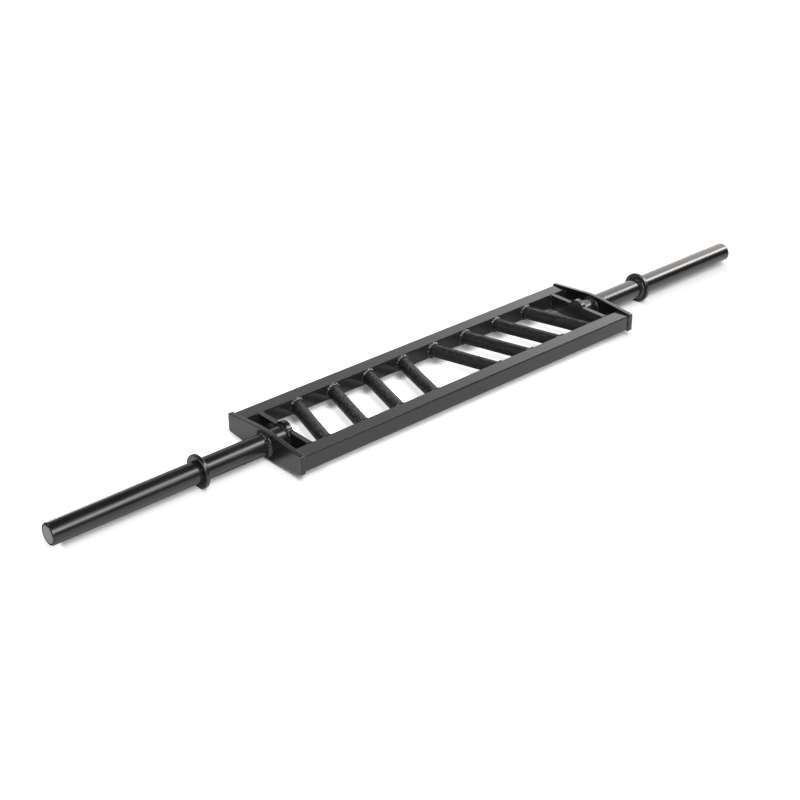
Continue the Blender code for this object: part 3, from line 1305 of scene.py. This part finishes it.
@dataclass(frozen=True)
class Floor:
    """The white floor, with real lamp shade under the bar, painted light that whitens it by place, and
    painted shade in its pockets and in what the coat mirrors.
    """

    size: float = 60.0
    whiteness: float = 0.88
    bar_half: float = 1.03
    bar_side: Step = (0.50, 0.62, 0.13, 0.025)
    # Steps of painted light that only the camera sees, whitening the floor's shadows by place.
    near_lift: Step = (0.03, 0.20, 0.05, 0.30)
    far_lift: Step = (0.8, 2.0, 0.0, 0.9)
    right_lift: Step = (0.4, 0.9, 0.0, 0.10)
    right_start: Step = (0.0, 0.04)
    inside_lift: Step = (0.068, 0.095, 0.66, 0.08)
    inside_end: Step = (0.44, 0.47, 1.0, 0.0)
    rear_edge: float = 0.236
    rear_past_frame: Step = (0.514, 0.532)
    rear_past_plate: Step = (-0.518, -0.510, 1.0, 0.0)
    rear_drop: Step = (-0.54, -0.50, 0.156, 0.124)
    rear_corner: Step = (-0.50, -0.44, 0.165, 0.236)
    rear_tip: Step = (-1.06, -1.00, -0.115, 0.0)
    rear_lift: Step = (-0.035, 0.0, 0.0, 0.62)
    tip_lift: Step = (-1.08, -1.05, 0.50, 0.0)
    # Steps of a painted reflection: the floor beside the bar mirrors brighter in the coat.
    side_shine: Step = (0.50, 0.60, 0.0, 0.24)
    right_shine: Step = (0.0, 0.8, 0.0, 0.22)
    painted_shine_start: Step = (-0.01, 0.03)
    # Steps of painted shade in what the coat mirrors: far off, inside the frame and under the left sleeve.
    far_dim: float = 0.75
    far_start: Step = (0.08, 0.40)
    behind_start: Step = (0.16, 0.25)
    behind_end: Step = (0.50, 0.53, 1.0, 0.0)
    nook_dim: Step = (-0.45, 0.42, 0.25, 0.60)
    nook_end: Step = (0.460, 0.470, 1.0, 0.0)
    rail_line: Step = (0.085, 0.10, 1.0, 0.0)
    sleeve_dim: Step = (-0.75, -0.60, 0.50, 0.85)
    sleeve_side: Step = (0.010, 0.036, 1.0, 0.0)
    sleeve_end: Step = (-0.530, -0.525, 1.0, 0.0)
    # Steps of painted shade on the floor in each pocket between the plates, for every ray.
    pocket_dim: Step = (0.468, 0.478, 0.0, 0.85)
    pocket_end: Step = (0.512, 0.522, 1.0, 0.0)

    def spot(self, sheet: NodeSheet) -> Spot:
        """Adds the nodes that say where a point of the floor lies.

        Args:
            sheet: The floor's sheet.

        Returns:
            The point's place.
        """
        place = sheet.feed(sheet.add("SeparateXYZ"), Vector=sheet.add("TexCoord").outputs["Object"])
        x, y, _ = place.outputs
        along, across = sheet.math("ABSOLUTE", x), sheet.math("ABSOLUTE", y)
        beside = sheet.less(across, sheet.step(along, *self.bar_side))
        return Spot(x, y, along, across, sheet.largest(beside, sheet.less(along, self.bar_half)))

    def painted_lift(self, sheet: NodeSheet, spot: Spot) -> Socket:
        """Says how much painted light, seen by the camera only, whitens the lit floor and its shadows by
        place.

        Args:
            sheet: The floor's sheet.
            spot: The point's place.

        Returns:
            The light's strength.
        """
        near, far = sheet.step(spot.apart, *self.near_lift), sheet.step(spot.apart, *self.far_lift)
        right = sheet.gate((spot.x, self.right_lift), (spot.apart, self.right_start))
        inside = sheet.gate((spot.across, self.inside_lift), (spot.along, self.inside_end))
        past = sheet.largest(
            sheet.step(spot.along, *self.rear_past_frame), sheet.step(spot.x, *self.rear_past_plate)
        )
        edge = sheet.less(self.rear_edge, sheet.times(past, sheet.step(spot.x, *self.rear_drop)))
        edge = sheet.math("MINIMUM", edge, sheet.step(spot.x, *self.rear_corner))
        over = sheet.less(spot.y, edge, sheet.step(spot.x, *self.rear_tip))
        rear = sheet.largest(sheet.step(over, *self.rear_lift), sheet.step(spot.x, *self.tip_lift))
        return sheet.plus(near, far, right, inside, rear)

    def painted_shine(self, sheet: NodeSheet, spot: Spot) -> Socket:
        """Returns a painted reflection: how much brighter the coat mirrors the floor beside the bar."""
        sides = sheet.plus(sheet.step(spot.along, *self.side_shine), sheet.step(spot.x, *self.right_shine))
        return sheet.times(sides, sheet.step(spot.apart, *self.painted_shine_start))

    def dim(self, sheet: NodeSheet, spot: Spot) -> Socket:
        """Says how much painted shade darkens the floor that the coat mirrors: far off, under the grips and
        under a sleeve.

        Args:
            sheet: The floor's sheet.
            spot: The point's place.

        Returns:
            What is taken from the floor's brightness.
        """
        behind = sheet.gate((spot.y, self.behind_start), (spot.along, self.behind_end))
        far = sheet.times(sheet.largest(sheet.step(spot.apart, *self.far_start), behind), self.far_dim)
        nook = sheet.gate((spot.x, self.nook_dim), (spot.along, self.nook_end), (spot.across, self.rail_line))
        sleeve = sheet.gate(
            (spot.across, self.sleeve_side), (spot.x, self.sleeve_end), (spot.x, self.sleeve_dim)
        )
        return sheet.largest(far, nook, sleeve)

    def lay(self, low: float) -> None:
        """Lays the floor under the bar.

        Args:
            low: The height of the bar's lowest point.
        """
        deselect()
        bpy.ops.mesh.primitive_plane_add(size=self.size, location=(0.0, 0.0, low))
        floor = bpy.context.object
        floor.name = "studio_floor"
        material, sheet = new_material("white_floor")
        spot = self.spot(sheet)
        path = sheet.add("LightPath")
        seen, mirrored = path.outputs["Is Camera Ray"], path.outputs["Is Glossy Ray"]
        # Painted light that only the camera sees, whitening the floor's shadows by place.
        painted_lift = sheet.times(self.painted_lift(sheet, spot), seen)
        # A painted reflection: the floor mirrors brighter in the coat beside the bar.
        painted_shine = sheet.times(self.painted_shine(sheet, spot), mirrored)
        # Painted shade: the floor in each pocket between the plates is darker for every ray.
        pocket_shade = sheet.gate(
            (spot.along, self.pocket_dim), (spot.along, self.pocket_end), (spot.across, self.rail_line)
        )
        # Painted shade: the floor the coat mirrors is darker by place, and the pockets are darker for every
        # ray.
        dim = sheet.largest(sheet.times(self.dim(sheet, spot), mirrored), pocket_shade)
        glow = sheet.times(sheet.less(sheet.plus(painted_shine, 1.0), dim), self.whiteness)
        matt = sheet.feed(sheet.add("BsdfDiffuse"), Color=glow)
        light = sheet.feed(sheet.add("Emission"), Color=WHITE, Strength=painted_lift)
        both = sheet.feed(sheet.add("AddShader"), i0=matt.outputs[0], i1=light.outputs[0])
        sheet.feed(sheet.add("OutputMaterial"), Surface=both.outputs[0])
        floor.data.materials.append(material)
        floor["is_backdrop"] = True


@dataclass(frozen=True)
class Patch:
    """A soft bright patch of the surroundings.

    Its middle and spread are each a place east and a turn in degrees.
    """

    middle: tuple[float, float]
    spread: tuple[float, float]
    power: float

    def glow(self, sheet: NodeSheet, east: Socket, turn: Socket) -> Socket:
        """Adds the patch.

        Args:
            sheet: The world's sheet.
            east: How far a direction points east.
            turn: How far it is turned up from the north.

        Returns:
            The patch's strength.
        """
        ways = zip((east, turn), self.middle, self.spread)
        offs = [sheet.math("DIVIDE", sheet.less(place, middle), width) for place, middle, width in ways]
        return sheet.times(*(sheet.bell(off) for off in offs), self.power)


@dataclass(frozen=True)
class Surroundings:
    """The room seen in the bar's gloss: a back wall, a side box, a long strip and lights to the west.

    Steps follow a direction's part to the east, the north or up.
    """

    base: float = 0.05
    ambient: float = 0.10
    warmth: Colour = (1.04, 0.99, 0.95)
    wall_front: Step = (-0.15, 0.15)
    wall_top: Step = (0.38, 0.88, 1.0, 0.0)
    wall_foot: Step = (0.0, 0.40, 0.30, 1.0)
    wall_east: Step = (0.02, 0.50, 0.12, 0.88)
    box_east: Step = (0.53, 0.86)
    box_front: Step = (-0.50, -0.25)
    box_top: Step = (0.45, 0.68, 2.4, 5.3)
    horizon_end: Step = (0.34, 0.43, 7.5, 0.0)
    horizon_start: Step = (0.24, 0.34)
    horizon_top: Step = (0.10, 0.37, 1.0, 0.0)
    horizon_front: Step = (0.76, 0.90)
    strip_turn: float = 114.0
    strip_bend: float = 32.0
    strip_bend_most: float = 0.95
    strip_bend_start: float = 0.36
    strip_bend_rate: float = -10.0
    strip_width: Step = (0.40, 0.60, 12.0, 12.5)
    strip_widening: Step = (0.0, 0.34, 6.0, 0.0)
    strip_start: Step = (-0.60, -0.20, 0.0, 9.6)
    strip_gap: Step = (0.545, 0.60, 1.0, 0.0)
    strip_flare: Step = (0.51, 0.54, 1.0, 1.9)
    strip_again: Step = (0.664, 0.710, 0.0, 21.5)
    strip_fading: Step = (0.735, 0.80, 1.0, 0.35)
    west_start: Step = (-0.90, -0.55, 1.0, 0.0)
    west_foot: Step = (-0.02, 0.12, 0.0, 8.0)
    west_middle: Step = (0.26, 0.45, 1.0, 0.35)
    west_top: Step = (0.55, 0.80, 1.0, 0.0)
    west_front: Step = (0.0, 0.20)
    west_back: Step = (0.35, 0.55, 1.0, 0.0)
    window: Patch = Patch((0.06, 62.0), (0.045, 11.0), 8.0)
    doorway: Patch = Patch((0.672, 20.0), (0.020, 6.0), 2.2)

    def strip(self, sheet: NodeSheet, east: Socket, turn: Socket) -> Socket:
        """Adds the long bent strip.

        Args:
            sheet: The world's sheet.
            east: How far a direction points east.
            turn: How far it is turned up from the north, in degrees.

        Returns:
            The strip's form, 1 along its middle.
        """
        past = sheet.times(sheet.less(east, self.strip_bend_start), self.strip_bend_rate)
        bend = sheet.math("MINIMUM", sheet.math("EXPONENT", past), self.strip_bend_most)
        bend = sheet.times(bend, self.strip_bend)
        width = sheet.plus(sheet.step(east, *self.strip_width), sheet.step(east, *self.strip_widening))
        return sheet.bell(sheet.math("DIVIDE", sheet.less(turn, sheet.plus(self.strip_turn, bend)), width))

    def lights(self, sheet: NodeSheet) -> tuple[Socket, Socket]:
        """Adds everything that shines in the room.

        Args:
            sheet: The world's sheet.

        Returns:
            The strengths of the white and of the warm light.
        """
        way = sheet.feed(sheet.add("SeparateXYZ"), Vector=sheet.add("TexCoord").outputs["Generated"])
        east, north, up = way.outputs
        turn = sheet.math("DEGREES", sheet.math("ARCTAN2", up, north))
        wall = sheet.gate(
            (north, self.wall_front), (up, self.wall_top), (up, self.wall_foot), (east, self.wall_east)
        )
        box = sheet.gate((east, self.box_east), (north, self.box_front), (up, self.box_top))
        horizon = sheet.gate(
            (east, self.horizon_end),
            (east, self.horizon_start),
            (up, self.horizon_top),
            (north, self.horizon_front),
        )
        west = sheet.gate(
            (east, self.west_start),
            (up, self.west_foot),
            (up, self.west_middle),
            (up, self.west_top),
            (north, self.west_front),
            (north, self.west_back),
        )
        strip = self.strip(sheet, east, turn)
        near = sheet.gate((east, self.strip_start), (east, self.strip_gap), (east, self.strip_flare))
        distant = sheet.gate((east, self.strip_again), (east, self.strip_fading))
        window, doorway = (patch.glow(sheet, east, turn) for patch in (self.window, self.doorway))
        cool = sheet.plus(sheet.times(strip, near), self.base, wall, west, window, horizon)
        return cool, sheet.plus(sheet.times(strip, distant), box, doorway)

    def build(self) -> None:
        """Makes the world: the room in the gloss, plain white behind the bar and a little light all round."""
        world = bpy.data.worlds.new("studio")
        bpy.context.scene.world = world
        world.use_nodes = True
        sheet = NodeSheet(world.node_tree)
        cool, warm = self.lights(sheet)
        path = sheet.add("LightPath")
        seen, mirrored = path.outputs["Is Camera Ray"], path.outputs["Is Glossy Ray"]
        soft = sheet.times(sheet.less(1.0, mirrored, seen), self.ambient)
        plain = sheet.plus(sheet.times(cool, mirrored), soft, seen)
        tinted = sheet.times(warm, mirrored)
        sky = sheet.feed(sheet.add("Background"), Color=WHITE, Strength=plain)
        glow = sheet.feed(sheet.add("Background"), Color=shade(self.warmth), Strength=tinted)
        both = sheet.feed(sheet.add("AddShader"), i0=sky.outputs[0], i1=glow.outputs[0])
        sheet.feed(sheet.add("OutputWorld"), Surface=both.outputs[0])


@dataclass(frozen=True)
class Lamp:
    """A soft rectangular lamp that faces the bar's middle, with its power in watts."""

    name: str
    place: Point
    size: tuple[float, float]
    power: float

    def hang(self) -> None:
        """Adds the lamp."""
        light = bpy.data.lights.new(self.name, "AREA")
        light.shape = "RECTANGLE"
        light.size, light.size_y = self.size
        light.energy = self.power
        lamp = bpy.data.objects.new(self.name, light)
        bpy.context.scene.collection.objects.link(lamp)
        lamp.location = self.place
        lamp.visible_glossy = False
        lamp.rotation_euler = Vector(self.place).to_track_quat("Z", "X").to_euler()


@dataclass(frozen=True)
class Studio:
    """Floor, surroundings, lamps and camera."""

    camera_place: Point = (-2.11589, -2.31200, 1.62072)
    camera_turn: Point = (61.4578, 0.7402, -40.9929)
    lens: float = 66.485
    sensor: float = 36.0
    sight: float = 200.0
    lamps: tuple[Lamp, ...] = (
        Lamp("front_box", (-1.9, -4.9, 4.5), (5.6, 2.2), 640.0),
        Lamp("top_box", (0.1, -0.9, 3.5), (2.5, 1.4), 38.0),
    )

    def camera(self) -> None:
        """Sets the camera at the photograph's place."""
        data = bpy.data.cameras.new("camera")
        data.lens = self.lens
        data.sensor_width = self.sensor
        data.clip_end = self.sight
        camera = bpy.data.objects.new("camera", data)
        camera.location = self.camera_place
        camera.rotation_euler = [math.radians(angle) for angle in self.camera_turn]
        bpy.context.scene.collection.objects.link(camera)
        bpy.context.scene.camera = camera

    def build(self, low: float) -> None:
        """Builds the whole studio.

        Args:
            low: The height of the bar's lowest point.
        """
        Floor().lay(low)
        Surroundings().build()
        for lamp in self.lamps:
            lamp.hang()
        self.camera()
        bpy.context.scene.view_settings.view_transform = "Standard"


def main() -> None:
    """Builds the bar's pieces in order, then the studio."""
    logging.basicConfig(level=logging.INFO, format="%(message)s")
    cad_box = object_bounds()
    tools = Workbench(), Finishes()
    rails, plates, inner = Rails(*tools), EndPlates(*tools), InnerPlates(*tools)
    for assembly in (rails, plates, inner, Grips(*tools), Ends(*tools), Seams(*tools, rails, plates, inner)):
        assembly.build()
    Studio().build(cad_box[0][2])


if __name__ == "__main__":
    main()
